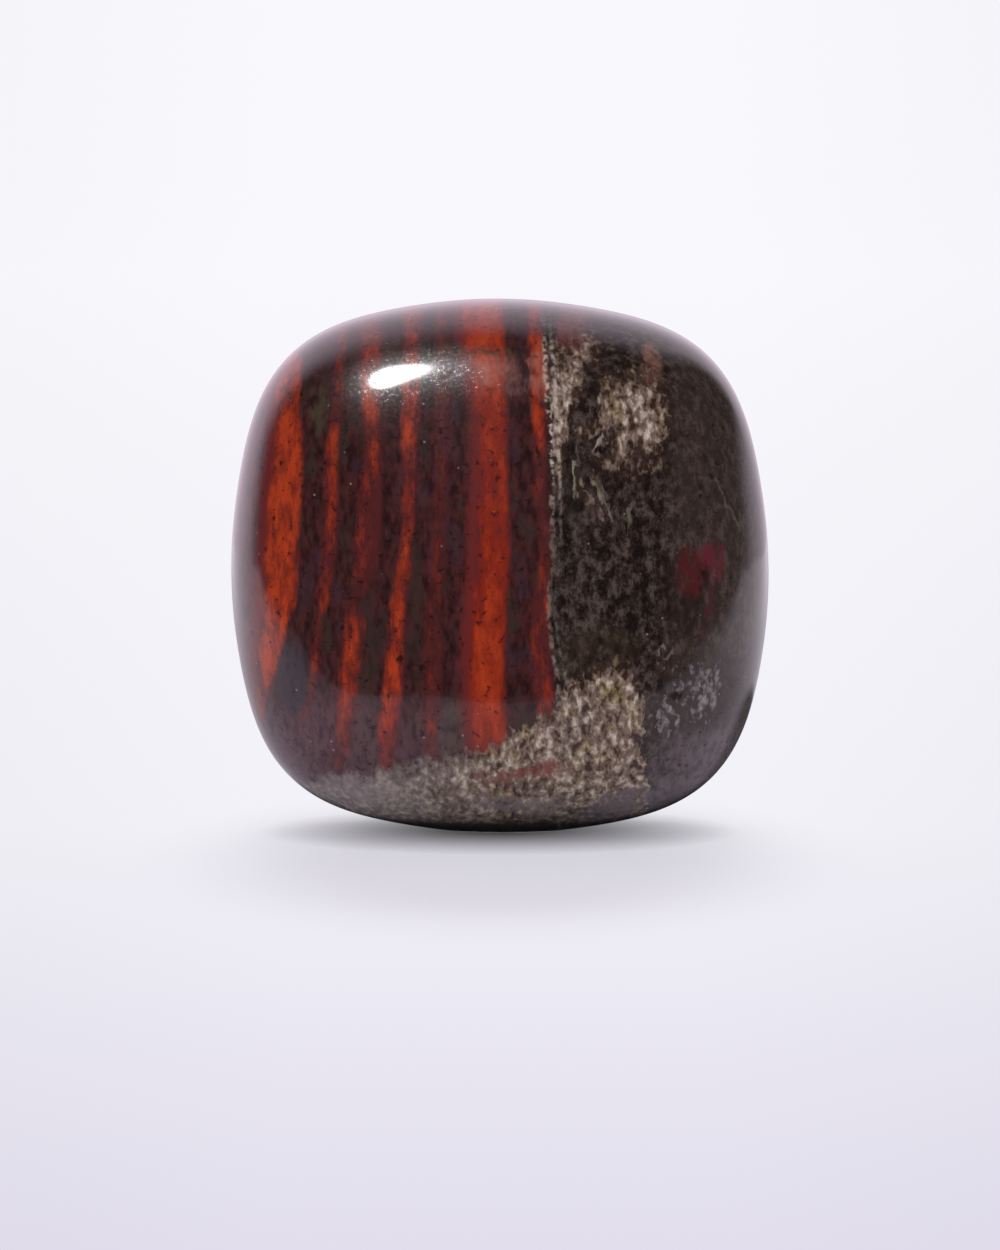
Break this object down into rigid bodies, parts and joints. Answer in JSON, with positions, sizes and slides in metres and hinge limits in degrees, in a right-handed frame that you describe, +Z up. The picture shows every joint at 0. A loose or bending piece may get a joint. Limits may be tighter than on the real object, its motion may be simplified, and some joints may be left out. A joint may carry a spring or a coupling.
{
  "type": "tumbled tiger iron stone",
  "caption": "Polished, pillow-shaped tumbled tiger iron with red jasper and dark hematite bands beside a tiger eye zone, resting on a small flat spot.",
  "frame": {"origin": "middle of the flat spot on the underside that the stone rests on", "axes": "+Z up from the flat spot, +X along the width across the colour bands, -Y out of the broad banded face"},
  "size_m": [0.025, 0.0201, 0.0246],
  "materials": {
    "polished_tiger_iron": "gloss tumbled polish over orange-red jasper bands, near-black hematite bands and an olive-brown tiger eye zone with pale silver-gold flecks"
  },
  "bodies": {
    "root": {"stone": "polished_tiger_iron"}
  },
  "joints": []
}
